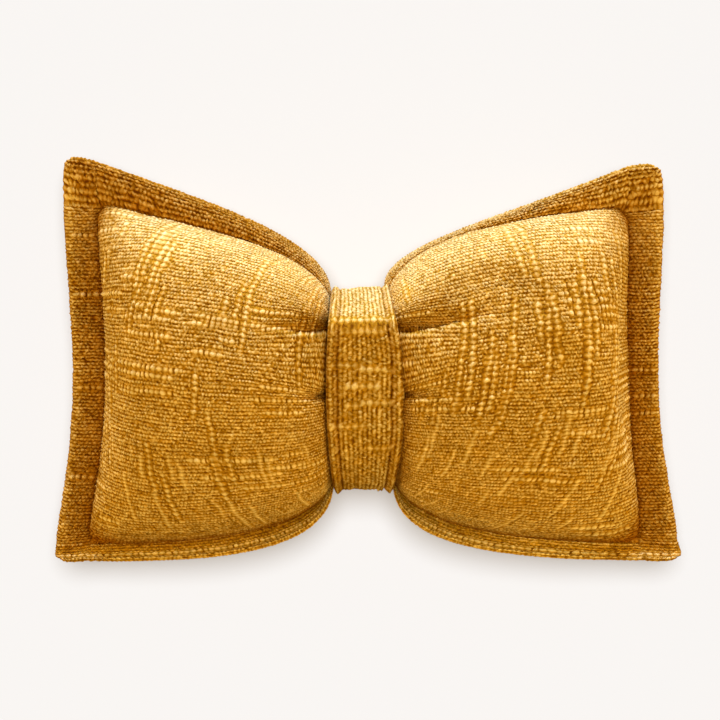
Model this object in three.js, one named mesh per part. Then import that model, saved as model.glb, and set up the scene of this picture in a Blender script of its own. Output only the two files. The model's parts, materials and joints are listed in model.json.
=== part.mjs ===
// Bow-shaped pillow: one filled cushion with a sewn flange all round, gathered at its middle by a wrap band.
// It lies on its back. X runs along the bow, Y from its lower to its upper edge, Z out of its face.
// The origin is at the middle of its outline, on the surface that it lies on. Sizes are in millimetres.
import * as THREE from "three";
import { mergeGeometries, mergeVertices } from "three/addons/utils/BufferGeometryUtils.js";

// Heights and thicknesses
const SEAM_HEIGHT = 62; // the seam all round, above the surface
const FRONT_CROWN = 68; // the face's highest point, above the seam
const BACK_CROWN = 67; // the depth that the back would have below the seam, if nothing flattened it
const WAIST_CROWN = 50; // half the thickness of the gathered middle
const STITCH_THICKNESS = 2.4; // the two panels where they are sewn together
const FLANGE_THICKNESS = 6.4; // the two panels and their turned edges, outside the seam
const CLOTH_THICKNESS = 3.4; // the band's folded cloth
const EDGE_RIB = 1; // how far the band's turned edges stand proud of it
const CLEARANCE = 0.8; // between the band and the cushion

// The band's outside, top to bottom, and its middle
const BAND_HEIGHT = 160.6;
const BAND_CENTRE_Y = -22;
const BAND_RISE = 1; // how much higher the middle of its upper edge is than the left end
const BAND_ARCH = 2.4; // how much higher the middle of its lower edge is than the ends
const SLOPE_STEP = 0.01; // for the slope of the band's section, of half its height

// How full the puff is: its height falls off as (1 - q^fullness)^ROUNDNESS from its middle to the seam.
// The filling has sunk, so the lower half is fuller than the upper.
const UPPER_FULLNESS = 2.2;
const LOWER_FULLNESS = 3.6;
const SIDE_FULLNESS = 3;
const ROUNDNESS = 0.48;

// Beside the band the upper half is flat up to a crease at CREASE_PLACE and slopes from there to the seam.
const CREASE_PLACE = 0.72;
const CREASE_FULLNESS = 1.3;
const CREASE_ROUNDNESS = 0.65;
const CREASE_REACH = 0.42; // the share of a lobe's length over which the crease fades

const RISE_SHARE = 0.48; // the part of a lobe's length that rises out of the band
const RISE_STEEPNESS = 0.7; // lower is steeper beside the band
const FALL_SHARE = 0.52; // the part that falls to the side seam
const EDGE_LAG = 1.2; // columns of the weave trail towards the band along the upper and lower seams
const SWELL_END = 0.3; // the share of the flange's width in which it thickens from the seam
const TURN_START = 0.8; // where its edge starts to be round
const CURL = 1.4; // the turn of a bent flange from seam to rim, in radians
const CORNER_ROUND = 5; // how far each rounded corner lies inside the sharp one
const SIDE_WAVE = 2; // how far the side flange waves forward and back

const at = (x, y) => new THREE.Vector2(x, y);

// The edges of each lobe in the seam plane. A seam or rim has the four points of a cubic curve, from the band
// outwards. A SideRim is the rim level with the puff's corner. bandEdge is the x of the band's edge.
// A bow is how far a side is drawn in at its middle. A lift is how far the rim is bent forward.
const LOBES = [
  {
    side: -1,
    topSeam: [at(-31, 50), at(-44, 90), at(-122, 105), at(-214, 127.6)],
    topRim: [at(-30.6, 54), at(-28.5, 96), at(-124, 125.5), at(-214, 159.3)],
    topCorner: at(-240, 166.5),
    topSideRim: at(-240, 127),
    bottomSeam: [at(-28.6, -94), at(-46, -130), at(-100, -143), at(-225, -147)],
    bottomRim: [at(-28.2, -95.4), at(-28.5, -145), at(-98, -158), at(-226, -158.6)],
    bottomCorner: at(-252, -160.5),
    bottomSideRim: at(-250, -146),
    bandEdge: { top: -30, middle: -33.4, bottom: -27.5 },
    seamBow: 11,
    rimBow: 10,
    topLift: { band: -2, middle: -9, corner: 1 },
    bottomLift: { band: 2, middle: 17, corner: 10 },
  },
  {
    side: 1,
    topSeam: [at(16.8, 50), at(24, 98), at(104, 115), at(206, 124)],
    topRim: [at(17.2, 54), at(-2, 90), at(108, 112.5), at(206, 156)],
    topCorner: at(232, 159.9),
    topSideRim: at(234, 124),
    bottomSeam: [at(22.5, -94), at(42, -130), at(98, -142), at(220, -146)],
    bottomRim: [at(21.5, -95.4), at(22, -139), at(83, -155), at(221, -158)],
    bottomCorner: at(254.5, -160.5),
    bottomSideRim: at(249.5, -145),
    bandEdge: { top: 15.4, middle: 27.4, bottom: 21 },
    seamBow: 4,
    rimBow: 10,
    topLift: { band: -2, middle: -8, corner: 2 },
    bottomLift: { band: 2, middle: 18, corner: 11 },
  },
];

// The folds that the band gathers on both lobes. row is the place of the fold's lip from the lower seam, -1, to
// the upper, 1. above and below are how far the hollow spreads from it, and reach how far it runs outwards.
const FOLDS = [
  { row: 0.5, depth: 17, above: 11, below: 1.2, reach: { left: 50, right: 74 } },
  { row: -0.1, depth: 8, above: 4, below: 3, reach: { left: 16, right: 20 } },
];

const mix = THREE.MathUtils.lerp;
const clamp = THREE.MathUtils.clamp;

// The value at t of the parabola through three values
function throughThree(first, middle, last, t) {
  return first * (1 - t) * (1 - 2 * t) + middle * 4 * t * (1 - t) + last * t * (2 * t - 1);
}

// For a curve given by a function of t from 0 to 1, the t that lies at each share of its length
function sharedLength(curve, steps = 120) {
  const lengths = [0];
  const places = [0];
  let last = curve(0);
  for (let i = 1; i <= steps; i++) {
    const t = Math.sin((Math.PI / 2) * (i / steps));
    const point = curve(t);
    lengths.push(lengths[i - 1] + point.distanceTo(last));
    places.push(t);
    last = point;
  }
  return (share) => {
    const wanted = clamp(share, 0, 1) * lengths[steps];
    const i = Math.max(1, lengths.findIndex((length) => length >= wanted));
    return mix(places[i - 1], places[i], (wanted - lengths[i - 1]) / (lengths[i] - lengths[i - 1]));
  };
}

const fullness = (q) => (q > 0 ? UPPER_FULLNESS : LOWER_FULLNESS);

// The share of its full height that a section has at q. crease is 1 at the band and 0 past its reach.
function seamFall(q, crease) {
  const round = Math.max(0, 1 - Math.abs(q) ** fullness(q)) ** ROUNDNESS;
  const past = Math.max(0, (q - CREASE_PLACE) / (1 - CREASE_PLACE));
  const creased = Math.max(0, 1 - past ** CREASE_FULLNESS) ** CREASE_ROUNDNESS;
  return q > 0 ? mix(round, creased, crease) : round;
}

// The share of the full crown at s along a lobe, from the band to the side seam
function crownShare(s, crown) {
  const atBand = WAIST_CROWN / crown;
  const rise = (1 - (1 - Math.min(1, s / RISE_SHARE)) ** 2) ** RISE_STEEPNESS;
  const fall = Math.max(0, (s - 1 + FALL_SHARE) / FALL_SHARE);
  return (atBand + (1 - atBand) * rise) * Math.max(0, 1 - fall ** SIDE_FULLNESS) ** ROUNDNESS;
}

function makeLobe(shape) {
  const curve = (points) => new THREE.CubicBezierCurve(...points);
  const edges = {
    topSeam: curve(shape.topSeam),
    topRim: curve(shape.topRim),
    bottomSeam: curve(shape.bottomSeam),
    bottomRim: curve(shape.bottomRim),
  };
  const length = Math.abs(shape.topSeam[3].x - shape.bandEdge.middle);
  const alongMiddle = sharedLength((s) => at(length * s, FRONT_CROWN * crownShare(s, FRONT_CROWN)));
  return { ...shape, ...edges, alongMiddle };
}

const lobes = LOBES.map(makeLobe);

// The band's edge at q, from the lower seam, -1, to the upper, 1
function bandEdgeX(lobe, q) {
  return throughThree(lobe.bandEdge.bottom, lobe.bandEdge.middle, lobe.bandEdge.top, (q + 1) / 2);
}

const drawnIn = (q) => (1 - q * q) ** 1.5 * (1 - 0.3 * q);

// A point in the seam plane: s runs from the band to the side seam, q from the lower to the upper seam
function insideSeam(lobe, s, q) {
  const low = lobe.bottomSeam.getPointAt(s);
  const high = lobe.topSeam.getPointAt(s);
  const share = (q + 1) / 2;
  const edge = mix(lobe.bottomSeam.v0.x, lobe.topSeam.v0.x, share);
  const bow = (1 - s) ** 3 * (bandEdgeX(lobe, q) - edge) - lobe.side * s ** 3 * lobe.seamBow * drawnIn(q);
  return at(mix(low.x, high.x, share) + bow, mix(low.y, high.y, share));
}

// How deep the folds are at d outwards from the band and at a row, in a section of a known half length
function foldDepth(lobe, d, row, halfLength) {
  return FOLDS.reduce((sum, fold) => {
    const reach = lobe.side < 0 ? fold.reach.left : fold.reach.right;
    const along = Math.max(0, 1 - d / reach) ** 1.3;
    const away = (row - fold.row) * halfLength;
    const spread = away > 0 ? (away / fold.above) ** 1.3 : (away / fold.below) ** 2;
    return sum + fold.depth * along * Math.exp(-spread);
  }, 0);
}

// A point of the puff on one face: f is the share of the cloth from band to side seam, row from seam to seam
function puff(lobe, f, row, face) {
  const crown = face > 0 ? FRONT_CROWN : BACK_CROWN;
  const s = mix(lobe.alongMiddle(f), f ** EDGE_LAG, Math.abs(row) ** 3);
  const height = crown * crownShare(s, crown);
  const halfSpan = lobe.topSeam.getPointAt(s).distanceTo(lobe.bottomSeam.getPointAt(s)) / 2;
  const half = Math.sign(row) || 1;
  const crease = Math.max(0, 1 - s / CREASE_REACH) ** 2;
  const section = (q) => at(halfSpan * q, height * seamFall(half * q, crease));
  const q = half * sharedLength(section)(Math.abs(row));
  const place = insideSeam(lobe, s, q);
  const d = Math.abs(place.x - bandEdgeX(lobe, q));
  const depth = foldDepth(lobe, d, row, halfSpan + height / 2);
  const fall = seamFall(q, crease);
  const z = STITCH_THICKNESS / 2 + Math.max(0, height * fall - depth * Math.sqrt(fall));
  return new THREE.Vector3(place.x, place.y, face * z);
}

// Half the flange's thickness at t, from the seam to its rim, which the two faces share
function halfFlange(t) {
  const swell = Math.sqrt(Math.min(1, t / SWELL_END));
  const turned = Math.max(0, (t - TURN_START) / (1 - TURN_START));
  return (mix(STITCH_THICKNESS, FLANGE_THICKNESS, swell) / 2) * Math.sqrt(Math.max(0, 1 - turned ** 2));
}

// Half the thickness outside the seam. In a corner both rims thin it.
function halfThickness(tSide, tEdge) {
  if (tSide > 0 && tEdge > 0) return Math.min(halfFlange(tSide), halfFlange(tEdge));
  return halfFlange(Math.max(tSide, tEdge));
}

// A bent flange's share of its width in the seam plane and of its lift, at t from the seam to the rim
const curlOut = (t) => Math.sin(CURL * t) / Math.sin(CURL);
const curlUp = (t) => (1 - Math.cos(CURL * t)) / (1 - Math.cos(CURL));

const liftAt = (lift, f) => throughThree(lift.band, lift.middle, lift.corner, f);

// A point of the upper or lower flange, in the middle of its thickness
function edgeFlange(lobe, f, t, upper) {
  const s = f ** EDGE_LAG;
  const seam = (upper ? lobe.topSeam : lobe.bottomSeam).getPointAt(s);
  const rim = (upper ? lobe.topRim : lobe.bottomRim).getPointAt(s);
  const place = seam.lerp(rim, curlOut(t));
  const lift = liftAt(upper ? lobe.topLift : lobe.bottomLift, f) * curlUp(t);
  return new THREE.Vector3(place.x, place.y, lift);
}

// A point of the side flange, in the middle of its thickness
function sideFlange(lobe, row, t) {
  const seam = insideSeam(lobe, 1, row);
  const rim = lobe.bottomSideRim.clone().lerp(lobe.topSideRim, (row + 1) / 2);
  rim.x -= lobe.side * lobe.rimBow * drawnIn(row);
  const place = seam.lerp(rim, t);
  return new THREE.Vector3(place.x, place.y, SIDE_WAVE * t * Math.sin(3 * row + lobe.side));
}

// A point of the square where the side flange meets the upper or lower one
function cornerFlange(lobe, tSide, tEdge, upper) {
  const across = sideFlange(lobe, upper ? 1 : -1, tSide);
  const along = edgeFlange(lobe, 1, tEdge, upper);
  const corner = edgeFlange(lobe, 1, 0, upper);
  const flat = across.add(along).sub(corner);
  const full = sideFlange(lobe, upper ? 1 : -1, 1).add(edgeFlange(lobe, 1, 1, upper)).sub(corner);
  const tip = upper ? lobe.topCorner : lobe.bottomCorner;
  const round = CORNER_ROUND * (tSide * tEdge) ** 4;
  flat.x += tSide * tEdge * (tip.x - full.x) - lobe.side * round;
  flat.y += tSide * tEdge * (tip.y - full.y) - (upper ? 1 : -1) * round;
  return flat;
}

// A point of the outside. |column| is 0 to 1 in the waist, to 2 on a lobe and to 3 on its side flange.
// |row| is 0 to 1 on the puff and to 2 on the upper or lower flange.
function outside(column, row, face) {
  const lobe = lobes[column < 0 ? 0 : 1];
  const reach = Math.abs(column);
  if (reach < 1) {
    const left = outside(-1, row, face);
    return left.lerp(outside(1, row, face), (column + 1) / 2);
  }
  const upper = row > 0;
  const tEdge = Math.abs(row) - 1;
  const tSide = reach - 2;
  if (tEdge <= 0 && tSide <= 0) return puff(lobe, reach - 1, row, face);
  let place;
  if (tEdge <= 0) place = sideFlange(lobe, row, tSide);
  else if (tSide <= 0) place = edgeFlange(lobe, reach - 1, tEdge, upper);
  else place = cornerFlange(lobe, tSide, tEdge, upper);
  place.z += face * halfThickness(tSide, tEdge);
  return place;
}

// The lines of the grid on which the outside is worked out
const steps = (from, to, count) => Array.from({ length: count }, (_, i) => mix(from, to, (i + 1) / count));
const FLANGE_LINES = [SWELL_END, TURN_START, 1];
const WAIST_LINES = [0.5, 1];
const LOBE_COLUMNS = 20;
const PUFF_ROWS = 36;
const BELOW_FOLD = 0.02; // the row that makes the fold's lip sharp
const halfColumns = [...WAIST_LINES, ...steps(1, 2, LOBE_COLUMNS), ...FLANGE_LINES.map((t) => 2 + t)];
const columns = [...halfColumns.map((c) => -c).reverse(), 0, ...halfColumns];
const puffRows = [-1, ...steps(-1, 1, PUFF_ROWS), FOLDS[0].row - BELOW_FOLD].sort((a, b) => a - b);
const rows = [...FLANGE_LINES.map((t) => -1 - t).reverse(), ...puffRows, ...FLANGE_LINES.map((t) => 1 + t)];

// One face of the cushion as a grid, with its triangles turned outwards. Each square is cut from the middle
// of the pillow towards its nearest corner, which keeps the corners of the puff smooth.
function faceSheet(face) {
  const sheet = new THREE.PlaneGeometry(1, 1, columns.length - 1, rows.length - 1);
  const position = sheet.getAttribute("position");
  rows.toReversed().forEach((row, j) =>
    columns.forEach((column, i) => {
      const point = outside(column, row, face);
      const z = Math.max(0, point.z + SEAM_HEIGHT);
      position.setXYZ(j * columns.length + i, point.x, point.y, z);
    }),
  );
  const corners = sheet.index.array;
  for (let k = 0; k < corners.length; k += 6) {
    const [a, b, d, , c] = corners.slice(k, k + 6);
    const column = columns[a % columns.length];
    const row = rows[rows.length - 1 - Math.floor(a / columns.length)];
    if (column * row < 0) corners.set([a, b, c, a, c, d], k);
  }
  if (face < 0) corners.reverse();
  sheet.deleteAttribute("normal");
  sheet.deleteAttribute("uv");
  return sheet;
}

function cushionShape() {
  return mergeVertices(mergeGeometries([faceSheet(1), faceSheet(-1)]), 1e-3);
}

// The band: its profile runs across its width, w from one edge to the other, and out of the cloth it wraps
const BAND_PROFILE = [
  { w: -1, out: 0 },
  { w: 0, out: 0 },
  { w: 1, out: 0 },
  { w: 1, out: CLOTH_THICKNESS * 0.7 },
  { w: 0.94, out: CLOTH_THICKNESS + EDGE_RIB },
  { w: 0.86, out: CLOTH_THICKNESS + EDGE_RIB },
  { w: 0.78, out: CLOTH_THICKNESS },
  { w: 0, out: CLOTH_THICKNESS },
  { w: -0.78, out: CLOTH_THICKNESS },
  { w: -0.86, out: CLOTH_THICKNESS + EDGE_RIB },
  { w: -0.94, out: CLOTH_THICKNESS + EDGE_RIB },
  { w: -1, out: CLOTH_THICKNESS * 0.7 },
];

const RING = 10; // the radius of the ring that is laid round the waist

function bandShape() {
  const inner = { y: BAND_HEIGHT / 2 - CLOTH_THICKNESS, z: WAIST_CROWN + STITCH_THICKNESS / 2 + CLEARANCE };
  const section = (q) => at(inner.y * q, inner.z * seamFall(q, 1));
  const toQ = (half) => sharedLength((q) => section(half * q));
  const halves = { lower: toQ(-1), upper: toQ(1) };
  const profile = [...BAND_PROFILE, BAND_PROFILE[0]].map(({ w, out }) => at(RING + out, w));
  const ring = new THREE.LatheGeometry(profile, 2 * PUFF_ROWS);
  const position = ring.getAttribute("position");
  for (let i = 0; i < position.count; i++) {
    const x = position.getX(i);
    const z = position.getZ(i);
    const turn = Math.atan2(x, z) / Math.PI; // 0 at the lower seam, 1 or -1 at the upper
    const row = 2 * Math.abs(turn) - 1;
    const q = row > 0 ? halves.upper(row) : -halves.lower(-row);
    const face = turn < 0 ? -1 : 1;
    const out = Math.hypot(x, z) - RING;
    const inside = section(q);
    const ahead = section(Math.min(1, q + SLOPE_STEP)).sub(section(Math.max(-1, q - SLOPE_STEP)));
    const atEnd = Math.abs(q) > 1 - SLOPE_STEP / 2;
    const normal = atEnd ? at(Math.sign(q), 0) : at(-ahead.y, ahead.x).normalize();
    const w = position.getY(i);
    const slant = q > 0 ? BAND_RISE * (1 + w) * q : BAND_ARCH * (1 - w * w) * q * q;
    const left = bandEdgeX(lobes[0], q) + CLEARANCE;
    const right = bandEdgeX(lobes[1], q) - CLEARANCE;
    position.setXYZ(
      i,
      mix(left, right, (w + 1) / 2),
      BAND_CENTRE_Y + inside.x + normal.x * out + slant,
      SEAM_HEIGHT + face * (inside.y + normal.y * out),
    );
  }
  ring.deleteAttribute("normal");
  ring.deleteAttribute("uv");
  return mergeVertices(ring, 1e-3);
}

// Cloth, placed so that the middle of the pillow's outline is at the origin
function clothMesh(name, geometry, middle) {
  const cloth = new THREE.MeshStandardMaterial({ color: 0xc98f2e, roughness: 0.95, metalness: 0 });
  const mesh = new THREE.Mesh(geometry, cloth);
  mesh.name = name;
  mesh.position.set(-middle.x, -middle.y, 0);
  return mesh;
}

const cushion = cushionShape();
cushion.computeBoundingBox();
const middle = cushion.boundingBox.getCenter(new THREE.Vector3());

const pillow = new THREE.Group();
pillow.add(clothMesh("cushion", cushion, middle), clothMesh("wrap_band", bandShape(), middle));

export default pillow;
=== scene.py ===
"""Bow-shaped pillow: two filled lobes and the band that gathers them, in a coarse slub weave."""

import json
import math

import bmesh
import bpy
import numpy as np
from bpy.props import FloatProperty, FloatVectorProperty, IntProperty, PointerProperty
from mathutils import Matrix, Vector

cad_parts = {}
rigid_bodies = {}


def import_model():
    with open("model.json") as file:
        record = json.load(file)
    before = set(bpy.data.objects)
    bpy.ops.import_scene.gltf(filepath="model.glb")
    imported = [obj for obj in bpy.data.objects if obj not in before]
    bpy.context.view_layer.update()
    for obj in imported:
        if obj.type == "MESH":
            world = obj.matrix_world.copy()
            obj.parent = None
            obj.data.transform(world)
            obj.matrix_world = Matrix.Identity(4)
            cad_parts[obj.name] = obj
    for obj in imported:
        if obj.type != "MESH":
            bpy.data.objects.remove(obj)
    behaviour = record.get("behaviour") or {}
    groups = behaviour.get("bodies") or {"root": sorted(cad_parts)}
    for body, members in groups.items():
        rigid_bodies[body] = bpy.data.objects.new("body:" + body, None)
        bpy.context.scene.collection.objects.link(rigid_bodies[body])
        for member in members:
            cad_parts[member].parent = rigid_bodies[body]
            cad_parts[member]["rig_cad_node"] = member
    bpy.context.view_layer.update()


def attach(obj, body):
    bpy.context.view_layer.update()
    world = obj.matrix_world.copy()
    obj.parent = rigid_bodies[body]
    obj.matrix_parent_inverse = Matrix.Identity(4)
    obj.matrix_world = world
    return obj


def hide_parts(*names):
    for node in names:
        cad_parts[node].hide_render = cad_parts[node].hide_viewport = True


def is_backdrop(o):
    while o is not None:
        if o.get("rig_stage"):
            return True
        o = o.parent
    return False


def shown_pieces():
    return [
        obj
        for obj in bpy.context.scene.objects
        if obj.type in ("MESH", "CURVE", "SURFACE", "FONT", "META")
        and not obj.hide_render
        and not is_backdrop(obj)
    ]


bl_info = {
    "name": "Bow-shaped pillow",
    "version": (1, 0, 0),
    "blender": (4, 5, 0),
    "location": "View3D > Sidebar > Pillow",
    "description": "Makes the cloth, filling and band of a bow-shaped pillow round its packed frame",
    "category": "Object",
}

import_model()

MM = 0.001

# The edges of each lobe in the seam plane, in millimetres, as in the part. A seam or rim has the four points
# of a cubic curve, from the band outwards. A lag is how far the weave's columns trail towards the band there.
# A shade is painted shade: how much darker the cloth's colour is, or with a minus how much paler, as painted
# light. A lean is in columns to a row.
LOBES = {
    "left": {
        "side": -1,
        "top_seam": [(-31, 50), (-44, 90), (-122, 105), (-214, 127.6)],
        "top_rim": [(-30.6, 54), (-28.5, 96), (-124, 125.5), (-214, 159.3)],
        "top_corner": (-240, 166.5),
        "top_side_rim": (-240, 127),
        "bottom_seam": [(-28.6, -94), (-46, -130), (-100, -143), (-225, -147)],
        "bottom_rim": [(-28.2, -95.4), (-28.5, -145), (-98, -158), (-226, -158.6)],
        "bottom_corner": (-252, -160.5),
        "bottom_side_rim": (-250, -146),
        "band_edge": {"top": -30, "middle": -33.4, "bottom": -27.5},
        "seam_bow": 11,
        "rim_bow": 10,
        "top_lift": {"band": -2, "middle": -9, "corner": 1},
        "bottom_lift": {"band": 2, "middle": 17, "corner": 10},
        "lag": {"top": 1.45, "bottom": 1.35},
        "fold_reach": [50, 22],
        # top_shade paints shade on the upper flange; hem_start and hem_shade paint light on the lower hem;
        # gap_reach is how far the painted shade beside the band reaches, in millimetres; roll_shade paints
        # shade on the roll above the upper fold, or with a minus light
        "top_shade": 1.0,
        "bars": 13,
        "bar_lean": 0.02,
        "chain_lean": 0.02,
        "hem_start": 1.0,
        "hem_shade": -1.1,
        "gap_reach": 2.2,
        "roll_shade": 0.6,
    },
    "right": {
        "side": 1,
        "top_seam": [(16.8, 50), (24, 98), (104, 115), (206, 124)],
        "top_rim": [(17.2, 54), (-2, 90), (108, 112.5), (206, 156)],
        "top_corner": (232, 159.9),
        "top_side_rim": (234, 124),
        "bottom_seam": [(22.5, -94), (42, -130), (98, -142), (220, -146)],
        "bottom_rim": [(21.5, -95.4), (22, -139), (83, -155), (221, -158)],
        "bottom_corner": (254.5, -160.5),
        "bottom_side_rim": (249.5, -145),
        "band_edge": {"top": 15.4, "middle": 27.4, "bottom": 21},
        "seam_bow": 4,
        "rim_bow": 10,
        "top_lift": {"band": -2, "middle": -8, "corner": 2},
        "bottom_lift": {"band": 2, "middle": 18, "corner": 11},
        "lag": {"top": 1.2, "bottom": 1.9},
        "fold_reach": [84, 26],
        "top_shade": 0.5,
        "bars": 20,
        "bar_lean": 0.16,
        "chain_lean": 0.2,
        "hem_start": 0.3,
        "hem_shade": -1.6,
        "gap_reach": 7.0,
        "roll_shade": -0.4,
    },
}

# The folds that the band gathers. row is the place of the lip at the band, -1 at the lower seam and 1 at the
# upper. above and below say how wide the fold is on each side of its lip, in millimetres.
FOLDS = [
    {"row": 0.5, "rise": 0.2, "depth": 16, "above": 9, "below": 1.2},
    {"row": 0.03, "rise": 0, "depth": 12, "above": 3.4, "below": 2.6},
]
# Where the band crowds rows together: into each fold, as place, width and how much, and towards each seam, as
# the place where it starts, the reach over which it grows and how much
FOLD_CROWDS = [(0.57, 0.045, 6), (0.03, 0.035, 4)]
LOWER_CROWD, UPPER_CROWD = (-0.75, 0.2, 1.5), (0.68, 0.15, 1.5)
GATHER_REACH = 0.34  # the share of a lobe's length over which the band crowds rows into the folds
LEVEL_ROWS = 0.55  # how far the rows of the lower half keep level instead of following the swell

# The puff's section and crown, as powers and shares
UPPER_FULLNESS = 2.2
LOWER_FULLNESS = 3.6
SIDE_FULLNESS = 3
ROUNDNESS = 0.48
CREASE_PLACE = 0.72
CREASE_FULLNESS = 1.3
CREASE_ROUNDNESS = 0.65
CREASE_REACH = 0.42
RISE_SHARE = 0.48
RISE_STEEPNESS = 0.7
FALL_SHARE = 0.52
PUFF_CORNER = 26  # how far from its corners the puff is still flat

# The seam and the flange, in millimetres
LOBE_LENGTH = 210
LOBE_HALF_HEIGHT = 130
SEAM_ROUND = 2.8
SEAM_ROUND_REACH = 6
STITCH_THICKNESS = 2.4
FLANGE_THICKNESS = 6.4
SWELL_END = 0.3  # the share of the flange over which it swells from the stitches to its full thickness
TURN_START = 0.8  # the share of the flange where its turned edge starts to round off
CURL = 1.4
CORNER_ROUND = 5
SIDE_WAVE = 2

# The band, in millimetres
CLOTH_THICKNESS = 3.4
CLEARANCE = 0.8
BAND_HEIGHT = 160.6
BAND_CENTRE_Y = -22
BAND_RISE = 1
BAND_ARCH = 2.4
SHIFT = np.array([-0.446, -1.941])  # from the drawing of the outline to the part's origin

# The lines of the mesh: two to each bead of yarn along a row, and two to each row
BAND_STEPS = 8  # under the band, where nothing shows
LOBE_STEPS = 168
SIDE_STEPS = 16
EDGE_STEPS = 16
PUFF_STEPS = 200
COARSE = 4  # lines of the weave to one of the simulated cloth
SLUB_BEAD = 1.6  # the length of a thick bead, in plain beads

# The simulated cloth: only the puff moves, as the flange and the waist are held
SIMULATED_FRAMES = 20
CLOTH_STIFFNESS = {
    "quality": 6,
    "mass": 0.4,
    "tension_stiffness": 20,
    "compression_stiffness": 20,
    "shear_stiffness": 8,
    "bending_stiffness": 3,
}

# A thick yarn across the rows. kind is what the material reads. middle and beside are the height on its line
# and on those next to it, for no thickness and for each unit of it.
CHAIN = {"kind": -1, "side_kind": -1, "middle": (0.82, 0.32), "beside": (0.42, 0.28)}
BAR = {"kind": 1, "side_kind": 0.7, "middle": (0.86, 0.25), "beside": (0.62, 0.2)}
CHAIN_DARK, BAR_DARK = 0.58, 0.3  # how much lower the weave is beside one

# How the cloth is held: what is left of its unevenness at a seam and a rim, and its relief where it is level
SEAM_CALM, RIM_CALM = 0.35, 0.4
LEVEL_RELIEF = 0.8
HEM_FOLD, HEM_FOLD_RELIEF = np.s_[:, 9:14], 0.55
TIGHT_BELOW_SEAM = [-50, -15, -3, 0], [0, 0.38, 0.38, 0]
FLANGE_GROUND = 0.45  # the relief about which the beads of the flange stand out more
UPPER_FLANGE_RELIEF, LOWER_FLANGE_RELIEF = 1.5, 1.1
NEAR_BAND = 70  # how many columns from the band its pull is felt

# Painted shade, how much darker the cloth's colour is, by lines past a seam: below 0 on the puff and above 0
# on the flange. With a minus it is painted light, as on the top of the upper puff.
SIDE_SHADE = [-6, -1, 0, 3, 9, 12, 14, 16], [0, 0.6, 1.3, 1.0, 0.8, 0.6, 0.2, 0.5]
UPPER_SHADE = [-70, -45, -28, -8, -2, 0, 3], [0, 0.12, -0.3, -0.35, 0, 1, 0]
# Near the band the upper flange is painted paler, as painted light, and the puff's lower seam gets more
# painted shade
UPPER_SHADE_AT_BAND = -0.4
LOWER_SHADE_AT_BAND = [-12, -3, 2, 4], [0, 0.35, 0.35, 0]
# Painted shade in the folds, at the puff's flat corners and on the roll above the upper fold, which the right
# lobe paints paler as painted light; DARKEST caps it
DARK_DEPTH = 16  # millimetres of fold to a whole shade
CORNER_SHADE = 1.2
ROLL_ROW, ROLL_WIDTH, ROLL_REACH = 0.68, 0.15, 22  # the roll above the upper fold: its rows and its reach
DARKEST = 1.6

BAND_WIDTH_STEPS = 32  # two to each chain of yarn
BAND_LENGTH_STEPS = 136  # two to each bead, from the lower seam to the upper on one face
BAND_CREASE = 0.76  # the place of the crease above the middle, where the top slopes back
BAND_HALF = 77  # millimetres from the middle of the band to its upper edge
BAND_LAP = [-0.8, -0.4, 0.05, 0.45, 1], [0, 2, 2.4, 4, 3.4]  # how far it laps the right lobe, by place up it
BAND_DARKEST = 1.3
# The band's short rows of thick yarn: place up the band, from and to as shares of its width, and thickness
BAND_RANKS = [
    (BAND_CREASE, (0.08, 0.9), -0.3),
    (BAND_CREASE - 0.065, (0.2, 0.8), 0.1),
    (0.36, (0.1, 0.5), 0.7),
    (0.3, (0.4, 0.86), 1.0),
    (0.14, (0.3, 0.7), 1.0),
    (-0.02, (0.3, 0.86), 1.1),
    (-0.23, (0.1, 0.55), 0.9),
    (-0.5, (0.5, 0.85), 0.5),
]

FLOOR_REACH = 12
FLOOR_GAP = 0.0003  # the floor lies this far below the pillow, so that the two never flicker
CAMERA_SENSOR = 36
CAMERA_DISTANCE = 2.2
HALF_VIEW = 0.288  # half the width that the picture shows at the pillow's seam
CAMERA_ASIDE = -0.0064
KEY_COLOUR, LAMP_COLOUR, SUN_COLOUR = (0.84, 1.33, 5.5), (1.0, 0.96, 0.9), (0.95, 1.0, 1.07)
SKY_COLOUR, GLOW_COLOUR = (1.0, 0.985, 0.965, 1.0), (1.0, 0.85, 0.68, 1.0)
RIGHT_LAMP_SHARE = 1.22
SUN_WIDTH, SUN_TILT = 0.45, 15


def mix(a, b, share):
    return a + (b - a) * share


def through_three(first, middle, last, t):
    """The value at t of the parabola through three values."""
    return first * (1 - t) * (1 - 2 * t) + middle * 4 * t * (1 - t) + last * t * (2 * t - 1)


def bell(distance, width):
    return np.exp(-((distance / width) ** 2))


def shared_length(points):
    """Each point's share of the length of the line through points, which run along the last but one axis."""
    steps = np.linalg.norm(np.diff(points, axis=-2), axis=-1)
    run = np.concatenate([np.zeros_like(steps[..., :1]), np.cumsum(steps, axis=-1)], axis=-1)
    return run / run[..., -1:]


class Edge:
    """A cubic curve, read at a share of its length."""

    def __init__(self, points):
        t = np.linspace(0, 1, 1200)[:, None]
        a, b, c, d = np.array(points, float)
        self.line = a * (1 - t) ** 3 + 3 * b * (1 - t) ** 2 * t + 3 * c * (1 - t) * t**2 + d * t**3
        self.share = shared_length(self.line)

    def at(self, s):
        return np.stack([np.interp(s, self.share, self.line[:, k]) for k in (0, 1)], axis=-1)


def seam_fall(q, crease):
    """The share of its full height that a section has at q. crease is 1 at the band and 0 past its reach."""
    fullness = np.where(q > 0, UPPER_FULLNESS, LOWER_FULLNESS)
    round_fall = np.maximum(0, 1 - np.abs(q) ** fullness) ** ROUNDNESS
    past = np.maximum(0, (q - CREASE_PLACE) / (1 - CREASE_PLACE))
    creased = np.maximum(0, 1 - past**CREASE_FULLNESS) ** CREASE_ROUNDNESS
    return np.where(q > 0, mix(round_fall, creased, crease), round_fall)


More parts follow.
